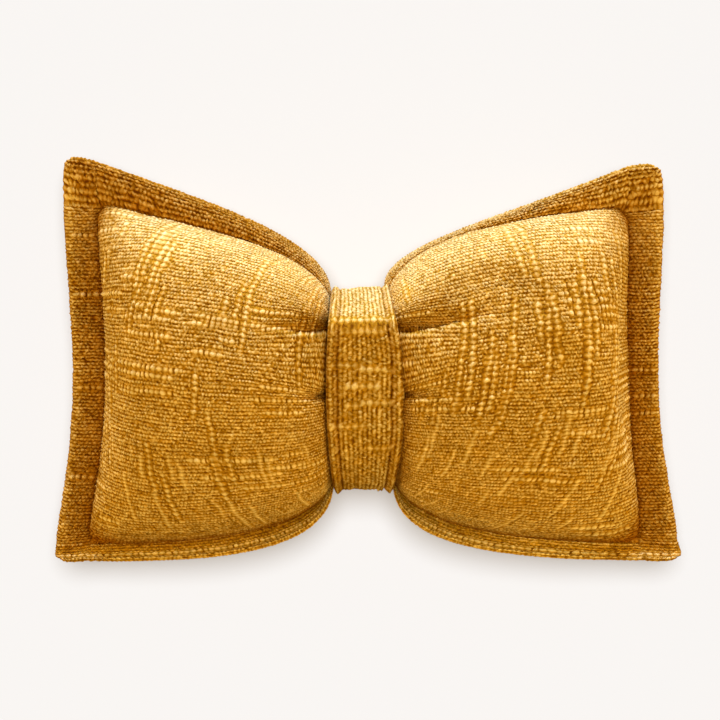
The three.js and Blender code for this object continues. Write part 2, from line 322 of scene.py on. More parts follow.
def crown_share(s, crown, waist):
    """The share of the full crown at s along a lobe, from the band to the side seam."""
    at_band = waist / crown
    rise = (1 - (1 - np.minimum(1, s / RISE_SHARE)) ** 2) ** RISE_STEEPNESS
    fall = np.maximum(0, (s - 1 + FALL_SHARE) / FALL_SHARE)
    return (at_band + (1 - at_band) * rise) * np.maximum(0, 1 - fall**SIDE_FULLNESS) ** ROUNDNESS


def drawn_in(q):
    """The share of its bow that a side has at q: most a little below the middle, and none at the ends."""
    return np.maximum(0, 1 - q * q) ** 1.5 * (1 - 0.3 * q)


def half_flange(t):
    """Half the flange's thickness at t, from the seam to its rim."""
    swell = np.sqrt(np.clip(t / SWELL_END, 0, 1))
    turned = np.clip((t - TURN_START) / (1 - TURN_START), 0, 1)
    return mix(STITCH_THICKNESS, FLANGE_THICKNESS, swell) / 2 * np.sqrt(1 - turned**2)


def curl_out(t):
    return np.sin(CURL * t) / math.sin(CURL)


def curl_up(t):
    return (1 - np.cos(CURL * t)) / (1 - math.cos(CURL))


def raised(xy, z):
    return np.concatenate([xy, z[..., None]], axis=-1)


def grid_of(first, second):
    """Two lists of values spread over the grid that they span."""
    return first[:, None] * np.ones(len(second)), second[None, :] * np.ones((len(first), 1))


class Lobe:
    """One lobe of the bow, with its solid's outline and section, in millimetres above the seam plane."""

    def __init__(self, name, sizes):
        self.__dict__.update(LOBES[name])
        self.top_seam, self.top_rim = Edge(self.top_seam), Edge(self.top_rim)
        self.bottom_seam, self.bottom_rim = Edge(self.bottom_seam), Edge(self.bottom_rim)
        self.crowns = {1: sizes.front_crown / MM, -1: sizes.back_crown / MM}
        self.waist = sizes.waist_crown / MM
        turn = np.sin(np.linspace(0, math.pi / 2, 400))
        crown = self.crowns[1]
        length = abs(self.top_seam.line[-1, 0] - self.band_edge["middle"])
        profile = np.stack([length * turn, crown * crown_share(turn, crown, self.waist)], axis=-1)
        self.middle_share, self.middle_s = shared_length(profile), turn

    def band_edge_x(self, q):
        edge = self.band_edge
        return through_three(edge["bottom"], edge["middle"], edge["top"], (q + 1) / 2)

    def inside_seam(self, s, q):
        """A point in the seam plane: s runs from the band to the side seam, q from lower to upper seam."""
        share = ((q + 1) / 2)[..., None]
        place = mix(self.bottom_seam.at(s), self.top_seam.at(s), share)
        edge = mix(self.bottom_seam.line[0, 0], self.top_seam.line[0, 0], (q + 1) / 2)
        bow = self.side * s**3 * self.seam_bow * drawn_in(q)
        place[..., 0] += (1 - s) ** 3 * (self.band_edge_x(q) - edge) - bow
        return place - self.rounding(s, q)

    def rounding(self, s, q):
        """How far the seam's corners are drawn in."""
        to_side, to_edge = (1 - s) * LOBE_LENGTH, (1 - np.abs(q)) * LOBE_HALF_HEIGHT
        drawn = SEAM_ROUND * np.exp(-((to_side / SEAM_ROUND_REACH) ** 2) - (to_edge / SEAM_ROUND_REACH) ** 2)
        return np.stack([self.side * drawn, np.sign(q) * drawn], axis=-1)

    def seam_s(self, f, upper):
        return f ** np.where(upper, self.lag["top"], self.lag["bottom"])

    def half_span(self, s):
        return np.linalg.norm(self.top_seam.at(s) - self.bottom_seam.at(s), axis=-1) / 2

    def q_table(self, rows, face):
        """For a spread of s, the place q of each row, with the rows evenly spaced along a section's cloth."""
        s = 1 - (1 - np.linspace(0, 1, 160)) ** 2
        crown = self.crowns[face]
        height = crown * crown_share(s, crown, self.waist)
        half_span = self.half_span(s)
        crease = np.maximum(0, 1 - s / CREASE_REACH) ** 2
        turn = np.sin(np.linspace(0, math.pi / 2, 160))
        table = np.zeros((len(s), len(rows)))
        for half in (1, -1):
            q = np.broadcast_to(half * turn, (len(s), len(turn)))
            z = height[:, None] * seam_fall(q, crease[:, None])
            share = shared_length(np.stack([half_span[:, None] * q, z], axis=-1))
            chosen = rows * half >= 0
            for i in range(len(s)):
                table[i, chosen] = half * np.interp(np.abs(rows[chosen]), share[i], turn)
        return s, table

    def crowded(self, row, f):
        """Where the rows lie once the band has crowded some of them into the folds, instead of evenly."""
        place = np.linspace(-1, 1, 801)
        crowd = 1
        for at, width, more in FOLD_CROWDS:
            crowd = crowd + more * bell(place - at, width)
        for way, (at, reach, more) in ((-1, LOWER_CROWD), (1, UPPER_CROWD)):
            crowd = crowd + more * np.clip(way * (place - at) / reach, 0, 1)
        run = np.concatenate([[0], np.cumsum((crowd[1:] + crowd[:-1]) / 2)])
        middle = run[400]
        run = np.where(place < 0, run / middle - 1, (run - middle) / (run[-1] - middle))
        near = np.clip(1 - f / GATHER_REACH, 0, 1) ** 1.5
        return mix(row, np.interp(row, run, place), near)

    def fold_depth(self, d, row, half_length):
        """The depth of the folds at a distance d from the band."""
        depth = 0
        for fold, reach in zip(FOLDS, self.fold_reach):
            along = np.maximum(0, 1 - d / reach) ** 1.2
            away = row * half_length - fold["row"] * half_length[:1] - fold["rise"] * d
            above = np.exp(-(np.maximum(0, away / fold["above"]) ** 1.3))
            below = bell(away, fold["below"])
            depth = depth + fold["depth"] * along * np.where(away > 0, above, below)
        return depth

    def puff(self, f, row, face):
        """Points of the puff: f is the share of the cloth from band to side seam, row runs from seam to seam.

        It also gives painted shade: how much darker the cloth's colour is in the folds, in the corners and
        beside the band, and on the roll above the upper fold, where a minus paints light.
        """
        crown = self.crowns[face]
        f, rows = grid_of(f, row)
        along = np.interp(f, self.middle_share, self.middle_s)
        s = mix(along, self.seam_s(f, rows > 0), np.abs(rows) ** 2)
        table_s, table = self.q_table(row, face)
        q = np.stack([np.interp(s[:, j], table_s, table[:, j]) for j in range(len(row))], axis=-1)
        q = mix(q, rows, np.where(rows < 0, LEVEL_ROWS, 0.0))
        rows = self.crowded(rows, f)
        q = np.stack([np.interp(rows[i], row, q[i]) for i in range(len(q))])
        half_span = self.half_span(s)
        place = self.inside_seam(s, q)
        fall = seam_fall(q, np.maximum(0, 1 - s / CREASE_REACH) ** 2)
        to_side = (1 - s) * np.abs(self.top_seam.line[-1, 0]) / PUFF_CORNER
        corner = np.clip(np.hypot(to_side, (1 - np.abs(q)) * half_span / PUFF_CORNER), 0, 1)
        height = crown * crown_share(s, crown, self.waist) * corner**0.7
        d = np.abs(place[..., 0] - self.band_edge_x(q))
        hollow = self.fold_depth(d, rows, half_span + height / 2) * np.sqrt(fall)
        z = STITCH_THICKNESS / 2 + np.maximum(0, height * fall - hollow)
        # Painted shade beside the band, and on the roll above the upper fold painted shade or, with a minus,
        # painted light
        beside = bell(d, self.gap_reach) * np.where(rows > 0.5, 0.4, 1)
        beside += self.roll_shade * np.exp(-((d / ROLL_REACH) ** 2) - ((rows - ROLL_ROW) / ROLL_WIDTH) ** 2)
        # Painted shade in the folds and at the puff's flat corners
        darker = np.clip(hollow / DARK_DEPTH, 0, 0.9) + CORNER_SHADE * (1 - corner) + beside
        return raised(place, face * z), darker

    def edge_flange(self, f, t, upper):
        """Points of the upper or lower flange, in the middle of its thickness."""
        f, t = grid_of(f, t)
        s = self.seam_s(f, upper)
        seam, rim = (self.top_seam, self.top_rim) if upper else (self.bottom_seam, self.bottom_rim)
        lift = self.top_lift if upper else self.bottom_lift
        up = through_three(lift["band"], lift["middle"], lift["corner"], f) * curl_up(t)
        return raised(mix(seam.at(s), rim.at(s), curl_out(t)[..., None]), up)

    def side_flange(self, t, row):
        """Points of the side flange, in the middle of its thickness."""
        t, row = grid_of(t, row)
        seam = self.inside_seam(np.ones_like(row), row)
        low, high = np.array(self.bottom_side_rim, float), np.array(self.top_side_rim, float)
        rim = mix(low, high, (row[..., None] + 1) / 2)
        rim[..., 0] -= self.side * self.rim_bow * drawn_in(row)
        return raised(mix(seam, rim, t[..., None]), SIDE_WAVE * t * np.sin(3 * row + self.side))

    def corner_flange(self, t_side, t_edge, upper):
        """Points of the square where the side flange meets the upper or lower one."""
        end, one = np.array([1.0 if upper else -1.0]), np.array([1.0])
        corner = self.edge_flange(one, np.array([0.0]), upper)
        place = self.side_flange(t_side, end) + self.edge_flange(one, t_edge, upper) - corner
        full = (self.side_flange(one, end) + self.edge_flange(one, one, upper) - corner)[0, 0]
        tip = self.top_corner if upper else self.bottom_corner
        place[..., :2] += (t_edge[None, :] * (1 - t_side[:, None]))[..., None] * self.rounding(one, end)[0]
        both = t_side[:, None] * t_edge[None, :]
        place[..., 0] += both * (tip[0] - full[0]) - self.side * CORNER_ROUND * both**4
        place[..., 1] += both * (tip[1] - full[1]) - end[0] * CORNER_ROUND * both**4
        return place

    def face(self, f, t_side, row, t_edge, face):
        """One face of the lobe outside the band, as a grid of points: columns first, then rows from below."""

        def thickened(middle, thick):
            middle = middle.copy()
            middle[..., 2] += face * thick
            return middle

        t_down = t_edge[::-1]
        side, up = half_flange(t_side)[:, None], half_flange(t_edge)[None, :]
        down = up[:, ::-1]
        lower = thickened(self.edge_flange(f, t_down, False), down)
        upper = thickened(self.edge_flange(f, t_edge, True), up)
        lobe = np.concatenate([lower, self.puff(f, row, face)[0], upper], axis=1)
        low = thickened(self.corner_flange(t_side, t_down, False), np.minimum(side, down))
        flange = thickened(self.side_flange(t_side, row), side)
        high = thickened(self.corner_flange(t_side, t_edge, True), np.minimum(side, up))
        return np.concatenate([lobe, np.concatenate([low, flange, high], axis=1)], axis=0)


def lines(step):
    """The lines of the weave, every step of them: f, t_side, row and t_edge."""
    f = np.linspace(0, 1, LOBE_STEPS // step + 1)
    t_side = np.linspace(0, 1, SIDE_STEPS // step + 1)[1:]
    row = np.linspace(-1, 1, PUFF_STEPS // step + 1)
    t_edge = np.linspace(0, 1, EDGE_STEPS // step + 1)[1:]
    return f, t_side, row, t_edge


def in_place(grid, sizes):
    """Moves points from the drawing, in millimetres above the seam plane, to the part's frame in metres."""
    grid[..., :2] += SHIFT
    grid *= MM
    grid[..., 2] += sizes.seam_height
    return grid


def lobe_faces(name, sizes, step):
    """The front and back of a lobe with its half of the waist, in metres: points[face][column, row]."""
    lobes = {side: Lobe(side, sizes) for side in LOBES}
    f, t_side, row, t_edge = lines(step)
    points = {}
    for face in (1, -1):
        outer = lobes[name].face(f, t_side, row, t_edge, face)
        ends = {side: lobe.face(f[:1], t_side[:0], row, t_edge, face)[0] for side, lobe in lobes.items()}
        across = np.linspace(0.02, 1, BAND_STEPS // step + 1)[:-1] * lobes[name].side
        waist = mix(ends["left"], ends["right"], ((across + 1) / 2)[:, None, None])
        grid = in_place(np.concatenate([waist, outer], axis=0), sizes)
        grid[..., 2] = np.maximum(grid[..., 2], 0)
        points[face] = grid
    return points


def unit(vectors):
    return vectors / np.maximum(np.linalg.norm(vectors, axis=-1, keepdims=True), 1e-12)


def grid_normals(grid, outward):
    """The outward normals of a grid of points, columns first."""
    along, up = np.gradient(grid, axis=0), np.gradient(grid, axis=1)
    return unit(np.cross(along, up)) * outward


def weave_mesh(keys):
    """An empty mesh that can hold the weave's texture place and a value of each key at every point."""
    bm = bmesh.new()
    bm.loops.layers.uv.new("weave")
    for key in keys:
        bm.verts.layers.float.new(key)
    return bm


def add_grid(bm, grid, flip, values):
    """Adds a grid of points, columns first, with its values, and its texture place as shares of the grid."""
    columns, rows = grid.shape[:2]
    made = bmesh.ops.create_grid(bm, x_segments=columns - 1, y_segments=rows - 1, size=0.5, calc_uvs=True)
    verts = made["verts"]
    for vertex, place in zip(verts, grid.transpose(1, 0, 2).reshape(-1, 3)):
        vertex.co = place
    for key, value in values.items():
        layer = bm.verts.layers.float[key]
        for vertex, number in zip(verts, value.T.ravel()):
            vertex[layer] = number
    if flip:
        faces = {face for vertex in verts for face in vertex.link_faces}
        bmesh.ops.reverse_faces(bm, faces=list(faces))


def closed_lobe(name, points, values):
    """A closed mesh of a lobe: its two faces joined at the rim, and a cap inside the band."""
    side = LOBES[name]["side"]
    bm = weave_mesh(values)
    for face in (1, -1):
        add_grid(bm, points[face], side * face < 0, {key: value[face] for key, value in values.items()})
    bmesh.ops.remove_doubles(bm, verts=bm.verts, dist=1e-6)
    bmesh.ops.holes_fill(bm, edges=[edge for edge in bm.edges if edge.is_boundary], sides=0)
    bmesh.ops.recalc_face_normals(bm, faces=bm.faces)
    return bm


def new_object(name, bm):
    mesh = bpy.data.meshes.new(name)
    bm.to_mesh(mesh)
    bm.free()
    piece = bpy.data.objects.new(name, mesh)
    bpy.context.scene.collection.objects.link(piece)
    mesh.polygons.foreach_set("use_smooth", np.ones(len(mesh.polygons), bool))
    return piece


def smoothed(grid):
    """A grid with each point drawn towards its four neighbours."""
    padded = np.pad(grid, ((1, 1), (1, 1), (0, 0)), mode="edge")
    beside = padded[:-2, 1:-1] + padded[2:, 1:-1] + padded[1:-1, :-2] + padded[1:-1, 2:]
    return (beside + 2 * grid) / 6


def settled(name, sizes):
    """How far the filling pushes the cloth out of its cut shape: a cloth simulation of the coarse lobe.

    The result is the movement of each coarse line's crossing, for the front and the back.
    """
    points = lobe_faces(name, sizes, COARSE)
    columns, rows = points[1].shape[:2]
    moves = {face: np.zeros((columns, rows, 3)) for face in points}
    if sizes.pressure <= 0:
        return moves
    numbers = np.arange(columns * rows).reshape(columns, rows) + 1.0
    cloth = new_object(name + "_cloth", closed_lobe(name, points, {"place": {1: numbers, -1: -numbers}}))
    count = len(cloth.data.vertices)
    place = np.zeros(count, np.float32)
    cloth.data.attributes["place"].data.foreach_get("value", place)
    before = np.zeros(count * 3, np.float32)
    cloth.data.vertices.foreach_get("co", before)
    column, row = np.divmod(np.abs(place).astype(int) - 1, rows)
    edge, side = EDGE_STEPS // COARSE, columns - 1 - SIDE_STEPS // COARSE
    held = (column <= BAND_STEPS // COARSE) | (row <= edge) | (row >= rows - 1 - edge) | (column >= side)
    cloth.vertex_groups.new(name="held").add([int(i) for i in np.nonzero(held)[0]], 1.0, "REPLACE")
    modifier = cloth.modifiers.new("filling", "CLOTH")
    settings = modifier.settings
    for key, value in CLOTH_STIFFNESS.items():
        setattr(settings, key, value)
    settings.use_pressure = True
    settings.uniform_pressure_force = sizes.pressure
    settings.shrink_min = -sizes.ease
    settings.vertex_group_mass = "held"
    settings.effector_weights.gravity = 0
    modifier.collision_settings.use_self_collision = False
    scene = bpy.context.scene
    scene.frame_start, scene.frame_end = 1, SIMULATED_FRAMES
    for number in range(1, SIMULATED_FRAMES + 1):
        scene.frame_set(number)
    evaluated = cloth.evaluated_get(bpy.context.evaluated_depsgraph_get())
    after = np.zeros(count * 3, np.float32)
    evaluated.data.vertices.foreach_get("co", after)
    moved = (after - before).reshape(-1, 3)
    far = np.linalg.norm(moved, axis=1, keepdims=True)
    moved *= np.minimum(1, sizes.settle_limit / np.maximum(far, 1e-9))
    for face in (1, -1):
        chosen = place * face > 0
        moves[face][column[chosen], row[chosen]] = moved[chosen]
        moves[face] = smoothed(smoothed(moves[face]))  # the filling leaves no crease narrower than a finger
    data = cloth.data
    bpy.data.objects.remove(cloth)
    bpy.data.meshes.remove(data)
    scene.frame_set(1)
    return moves


def finer(coarse, step):
    """A coarse grid's values on the lines of the weave, along smooth curves."""

    def along_first(values):
        count = (len(values) - 1) * step + 1
        place = np.arange(count) / step
        i = np.minimum(place.astype(int), len(values) - 2)
        t = (place - i).reshape((-1,) + (1,) * (values.ndim - 1))
        a, b, c, d = [values[np.clip(i + k, 0, len(values) - 1)] for k in (-1, 0, 1, 2)]
        return b + 0.5 * t * (c - a + t * (2 * a - 5 * b + 4 * c - d + t * (3 * (b - c) + d - a)))

    return along_first(along_first(coarse).swapaxes(0, 1)).swapaxes(0, 1)


def drift(random, shape, cell):
    """Seeded noise, mostly from -1 to 1, that varies smoothly over cell lines."""
    coarse = random.uniform(-1, 1, (shape[0] // cell + 3, shape[1] // cell + 3))
    return finer(coarse, cell)[: shape[0], : shape[1]]


class Weave:
    """The weave on a grid of lines.

    Rows of yarn run along the first axis, two lines to a bead and two to a row. relief is 0 in a gap, about
    1 on the yarn and up to 1.6 on a slub. along and up say how far each crossing moves along the row and over
    the rows, in shares of a line. thick is 0 on plain yarn, -1 on a chain of tall beads over the rows, 1 on a
    smooth bar over them and 2 on one row of long beads.
    """

    def __init__(self, columns, rows, seed, slubs, rough=1.0):
        self.columns, self.rows = shape = columns, rows
        self.random = random = np.random.default_rng(seed)
        self.thick = np.zeros(shape)
        u, v = np.meshgrid(np.arange(columns), np.arange(rows), indexing="ij")
        row, gap = v // 2, v % 2 == 1
        bead, top = (u + row) // 2, (u + row) % 2 == 0  # each row lies half a bead on from the last
        size = random.uniform(1 - 0.4 * rough, 1.1, (int(bead.max()) + 1, int(row.max()) + 1))[bead, row]
        row_size = random.uniform(0.87, 1.1, int(row.max()) + 1)[row] + 0.12 * drift(random, shape, 12)
        size[random.random(size.shape) < 0.05] = 0.2  # here and there a bead is missing
        relief = np.where(top, size, random.uniform(0.35, 0.75, shape)) * row_size
        self.relief = np.where(gap, np.clip(random.normal(0.3, 0.25, shape), -0.1, 0.75), relief)
        # Each crossing moves a little by itself, and more with those round it, near ones and far ones
        self.along = random.normal(0, 0.17 * rough, shape)
        self.along = self.along + 0.6 * drift(random, shape, 5) + 0.6 * drift(random, shape, 19)
        self.up = random.normal(0, 0.16 * rough, shape)
        self.up = self.up + 0.35 * drift(random, shape, 7) + 0.7 * drift(random, shape, 23)
        for slub in slubs:
            self.add_slub(slub)

    def add_slub(self, slub):
        """Lays one thick yarn along a row or up a column, unless it is too short or too near the edge."""
        by_row = slub["way"] == "row"
        if by_row:
            length, width = self.columns, self.rows
            middle = 2 * round(slub["at"] * (width - 1) / 2)
        else:
            length, width = self.rows, self.columns
            middle = round(slub["at"] * (width - 1))
        first, last = (int(share * length) for share in slub["run"])
        span = np.arange(max(first, 1), min(last, length - 1))
        if len(span) < 5 or not 2 <= middle < width - 2:
            return
        to_end = np.minimum(span - span[0], span[-1] - span)
        swell = np.clip((to_end + 1) / slub.get("taper", 3), 0, 1)
        if by_row:
            self.add_row(slub["thick"], span, middle, swell)
        else:
            self.add_column(slub, span, middle, swell)

    def blend(self, place, height, swell):
        self.relief[place] = mix(self.relief[place], height, swell)

    def add_row(self, thick, span, middle, swell):
        number = np.round(span / (2 * SLUB_BEAD)).astype(int)
        bead_size = self.random.uniform(0.65, 1.1, self.columns)[number]
        away = np.abs(span - 2 * SLUB_BEAD * number)
        wave = np.sqrt(np.clip(1 - (away / SLUB_BEAD) ** 2, 0, 1)) * bead_size
        self.blend((span, middle), 0.1 + (1.05 + 0.4 * thick) * wave, swell)
        self.thick[span, middle] = 2 * swell
        for way in (-1, 1):
            beside = span, middle + way
            self.blend(beside, 0.05 + (0.25 + 0.35 * thick) * wave, swell)
            self.relief[span, middle + 2 * way] *= 1 - 0.35 * swell
            self.thick[beside] = 2 * swell
            self.up[beside] = mix(self.up[beside], self.up[span, middle] + 0.25 * way, swell)

    def add_column(self, slub, span, middle, swell):
        sway = slub["sway"] * drift(self.random, (len(span), 1), 16)[:, 0]
        sway = np.round(sway + slub.get("lean", 0) * (span - span[0]))
        place = np.clip(middle + sway.astype(int), 3, self.columns - 4)
        if slub["smooth"] < 0.5:
            kind, number = CHAIN, np.round(span / 3).astype(int)
            at_bead = span == 3 * number
            knot, dip = self.random.uniform(0.65, 1.2, self.rows)[number], np.where(at_bead, 1.0, 0.8)
            pull, dark = np.where(at_bead, 0.2, -0.2), slub.get("dark", CHAIN_DARK)
        else:
            kind, knot = BAR, self.random.uniform(0.9, 1.1, self.rows // 2 + 1)[span // 2]
            dip = np.where(span % 2 == 0, 1.0, slub["smooth"])
            pull, dark = 0.0, BAR_DARK
        heights = [kind[key][0] + kind[key][1] * slub["thick"] for key in ("middle", "beside")]
        self.blend((place, span), heights[0] * knot * dip, swell)
        self.thick[place, span] = kind["kind"] * swell
        for way in (-1, 1):
            beside, next_but_one = (place + way, span), (place + 2 * way, span)
            self.blend(beside, heights[1] * knot * dip**2, swell)
            self.thick[beside] = kind["side_kind"] * swell
            self.relief[next_but_one] *= 1 - dark * swell
            self.along[beside] += pull * way * swell
            self.along[next_but_one] += 0.2 * way * swell


def slub_table(seed, across, rising, lobe):
    """A seeded spread of slubs, as shares of the grid: about across of them along rows and rising up columns.

    Thick yarn comes in bundles, so each place has one to three slubs side by side. None runs beside a seam.
    In the lower half there are also bars of smooth yarn, which lean outwards as they rise.
    """
    random = np.random.default_rng(seed)
    low, high = EDGE_STEPS / (2 * EDGE_STEPS + PUFF_STEPS), 1 - EDGE_STEPS / (2 * EDGE_STEPS + PUFF_STEPS)
    side = 1 - SIDE_STEPS / (BAND_STEPS + LOBE_STEPS + SIDE_STEPS)
    table = []
    while len(table) < across:
        start, length = random.uniform(0.0, 0.85), random.uniform(0.08, 0.26)
        at = random.uniform(low + 0.04, high - 0.1)
        for k in range(random.integers(1, 4)):
            begin = start + random.uniform(-0.05, 0.05)
            end = begin + length * random.uniform(0.5, 1.2)
            end = side - 0.02 if side - 0.02 < end < side + 0.06 else end
            table.append({"way": "row", "at": at + k * random.uniform(0.026, 0.04), "run": (begin, end),
                          "thick": random.uniform(0.3, 1.1)})
    while len(table) < across + rising:
        start, length = random.uniform(low + 0.15, 0.85), random.uniform(0.08, 0.3)
        at = random.uniform(0.13, side - 0.1)
        lean = lobe["chain_lean"] * 1.6 * (1 - start) + random.uniform(-0.07, 0.07)
        for k in range(random.integers(1, 4)):
            begin = max(low + 0.03, start + random.uniform(-0.06, 0.06))
            end = min(high - 0.02, begin + length * random.uniform(0.5, 1.2))
            table.append({"way": "column", "at": at + k * random.uniform(0.03, 0.045), "run": (begin, end),
                          "thick": random.uniform(0.3, 1.0), "smooth": random.uniform(0.08, 0.22),
                          "sway": random.uniform(0.3, 1.2), "lean": lean})
    for place in range(lobe["bars"]):
        at = 0.13 + (side - 0.25) * (place + random.uniform(0.1, 0.9)) / lobe["bars"]
        begin = low + random.uniform(0.04, 0.28)
        table.append({"way": "column", "at": at, "run": (begin, begin + random.uniform(0.05, 0.13)),
                      "thick": random.uniform(0.1, 0.5), "smooth": random.uniform(0.65, 0.85),
                      "sway": 0.3, "lean": lobe["bar_lean"] + random.uniform(-0.04, 0.04)})
    return table


def dressed(grid, outward, relief, along, up, depth):
    """The grid moved out by the relief, and along itself by the shares of a line."""
    moved = grid + grid_normals(grid, outward) * (relief * depth)[..., None]
    moved += np.gradient(grid, axis=0) * along[..., None]
    moved += np.gradient(grid, axis=1) * up[..., None]
    return moved


def band_pull(column):
    """1 at the band and 0 past its reach."""
    return np.clip(1 - (column - BAND_STEPS) / NEAR_BAND, 0, 1)


def shading(name, sizes, columns, rows):
    """Painted shade at each crossing, for the front and the back: how much darker the cloth's colour is, or
    with a minus how much paler, as painted light.
    """
    lobe = Lobe(name, sizes)
    column, line = np.meshgrid(np.arange(columns), np.arange(rows), indexing="ij")
    past_side = column - (columns - 1 - SIDE_STEPS)
    past_edge = np.abs(line - (rows - 1) / 2) - PUFF_STEPS / 2
    near_band = band_pull(column)
    # Painted light on the top of the upper puff, painted shade at the upper seam and on the upper flange, and
    # painted light on that flange near the band
    upper = np.interp(past_edge, *UPPER_SHADE)
    upper += np.clip(past_edge / 3, 0, 1) * mix(lobe.top_shade, UPPER_SHADE_AT_BAND, near_band)
    # Painted shade under the puff along the lower seam, and painted light on the lower hem, which fades
    # towards the side
    start, pale = lobe.hem_start, lobe.hem_shade
    lower = np.interp(past_edge, [-18, -10, -6, -1, 0, 2 * start, 4 * start, 8 * start, 12, 14, 16],
                      [0, 0.5, 1.4, 1.6, 1.4, 0.8, -0.3, pale, pale, 0.7 * pale, -0.3])
    lower = np.where(lower < 0, lower * np.clip(-past_side / 30, 0, 1), lower)
    lower += np.interp(past_edge, *LOWER_SHADE_AT_BAND) * np.clip(near_band * 1.5, 0, 1)
    # Painted shade on the side flange, blended with the upper and lower ones at the corners
    edge, side = np.where(line > rows / 2, upper, lower), np.interp(past_side, *SIDE_SHADE)
    edge = mix(edge, side, np.clip((past_side - past_edge) / 10 + 0.5, 0, 1))
    f, _, row, _ = lines(1)
    puff = np.s_[columns - SIDE_STEPS - len(f) : columns - SIDE_STEPS, EDGE_STEPS : EDGE_STEPS + len(row)]
    shades = {}
    for face in (1, -1):
        shades[face] = edge.copy()
        shades[face][puff] += lobe.puff(f, row, face)[1]
        shades[face] = np.minimum(shades[face], DARKEST)
    return shades


def seam_calm(columns, rows):
    """What is left of the cloth's unevenness where a seam or a turned rim holds it."""
    calm = np.ones((columns, rows))
    for seam in (EDGE_STEPS, rows - 1 - EDGE_STEPS):
        calm[:, seam - 1 : seam + 2] *= SEAM_CALM
    calm[columns - 2 - SIDE_STEPS : columns + 1 - SIDE_STEPS] *= SEAM_CALM
    for rim in (np.s_[:, :2], np.s_[:, -2:], np.s_[-2:]):
        calm[rim] *= RIM_CALM
    return calm


def held_relief(relief):
    """The relief of a lobe's weave, leveller where the cloth is pulled tight and deeper on the flange."""
    columns, rows = relief.shape
    line = np.arange(rows)
    relief[HEM_FOLD] *= HEM_FOLD_RELIEF
    relief = mix(relief, LEVEL_RELIEF, np.interp(line - (rows - 1 - EDGE_STEPS), *TIGHT_BELOW_SEAM))
    flange = np.ones((columns, rows), bool)
    flange[: columns - SIDE_STEPS, EDGE_STEPS : rows - EDGE_STEPS] = False
    deeper = np.where(line > rows / 2, UPPER_FLANGE_RELIEF, LOWER_FLANGE_RELIEF)
    relief = np.where(flange, FLANGE_GROUND + deeper * (relief - FLANGE_GROUND), relief)
    near_band = band_pull(np.arange(columns))[:, None]
    return mix(relief, LEVEL_RELIEF, 0.6 * near_band * (line >= rows - EDGE_STEPS))


def make_lobe(name, settings):
    sizes, cloth = settings.sizes, settings.cloth
    lobe = LOBES[name]
    side = lobe["side"]
    points = lobe_faces(name, sizes, 1)
    moved = settled(name, sizes)
    reliefs, normals, thick = {}, {}, {}
    columns, rows = points[1].shape[:2]
    fade = np.clip((np.arange(columns) - BAND_STEPS) / 4, 0, 1)[:, None] * np.ones(rows)
    calm = seam_calm(columns, rows)
    hem = {"way": "row", "at": 6 / (rows - 1), "run": (0.08, 1), "thick": 0.0}
    for face in (1, -1):
        grid = points[face] + finer(moved[face], COARSE)
        seed = cloth.seed + (0 if side < 0 else 10) + (0 if face > 0 else 5)
        slubs = slub_table(seed + 1, cloth.slubs_across, cloth.slubs_rising, lobe)
        weave = Weave(columns, rows, seed, [*slubs, hem])
        reliefs[face], thick[face] = held_relief(weave.relief), weave.thick
        relief = reliefs[face] * np.sqrt(calm) * fade
        along, up = weave.along * calm * fade, weave.up * calm * fade
        points[face] = dressed(grid, side * face, relief, along, up, cloth.relief)
        points[face][..., 2] = np.maximum(points[face][..., 2], 0)
        normals[face] = grid_normals(grid, side * face)
    for rim in (np.s_[:, 0], np.s_[:, -1], np.s_[-1, :]):
        middle = (points[1][rim] + points[-1][rim]) / 2
        outward = unit(normals[1][rim] + normals[-1][rim])
        swell = (0.4 * fade[rim] * cloth.relief)[:, None]
        points[1][rim] = points[-1][rim] = middle + outward * swell
        reliefs[1][rim] = reliefs[-1][rim] = 0.6
    # edge carries the painted shade, or with a minus the painted light, that the material reads
    values = {"relief": reliefs, "thick": thick, "edge": shading(name, sizes, columns, rows)}
    piece = new_object(name + "_lobe", closed_lobe(name, points, values))
    scale_texture(piece, columns - 1, rows - 1)
    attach(piece, "root")
    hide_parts("cushion")
    return piece


def scale_texture(piece, columns, rows):
    """Turns the texture place from shares of the grid into beads and rows."""
    layer = piece.data.uv_layers["weave"].data
    place = np.zeros(len(layer) * 2, np.float32)
    layer.foreach_get("uv", place)
    place = place.reshape(-1, 2) * np.array([columns / 2, rows / 2], np.float32)
    layer.foreach_set("uv", place.ravel())


def band_line(sizes):
    """The line inside the band, round one face from the lower to the upper seam, and its q."""
    inner_y = BAND_HEIGHT / 2 - CLOTH_THICKNESS
    inner_z = sizes.waist_crown / MM + STITCH_THICKNESS / 2 + CLEARANCE
    below, above = -np.sin(np.linspace(math.pi / 2, 0, 300)), np.sin(np.linspace(0, math.pi / 2, 300))
    q = np.concatenate([below, above[1:]])
    return q, np.stack([inner_y * q, inner_z * seam_fall(q, 1.0)], axis=-1)


def band_ring(sizes):
    """The points of the ring inside the band with the way out of it, their q, and q on the front alone."""
    q_line, line = band_line(sizes)
    share, even = shared_length(line), np.linspace(0, 1, BAND_LENGTH_STEPS + 1)
    q_face = np.interp(even, share, q_line)
    face_line = np.stack([np.interp(even, share, line[:, k]) for k in (0, 1)], axis=-1)
    ring_q = np.concatenate([q_face, q_face[::-1][1:-1]])
    ring = np.concatenate([face_line, (face_line * [1, -1])[::-1][1:-1]])
    ahead = np.roll(ring, -1, axis=0) - np.roll(ring, 1, axis=0)
    out = unit(np.stack([-ahead[:, 1], ahead[:, 0]], axis=-1))
    return ring, out, ring_q, q_face


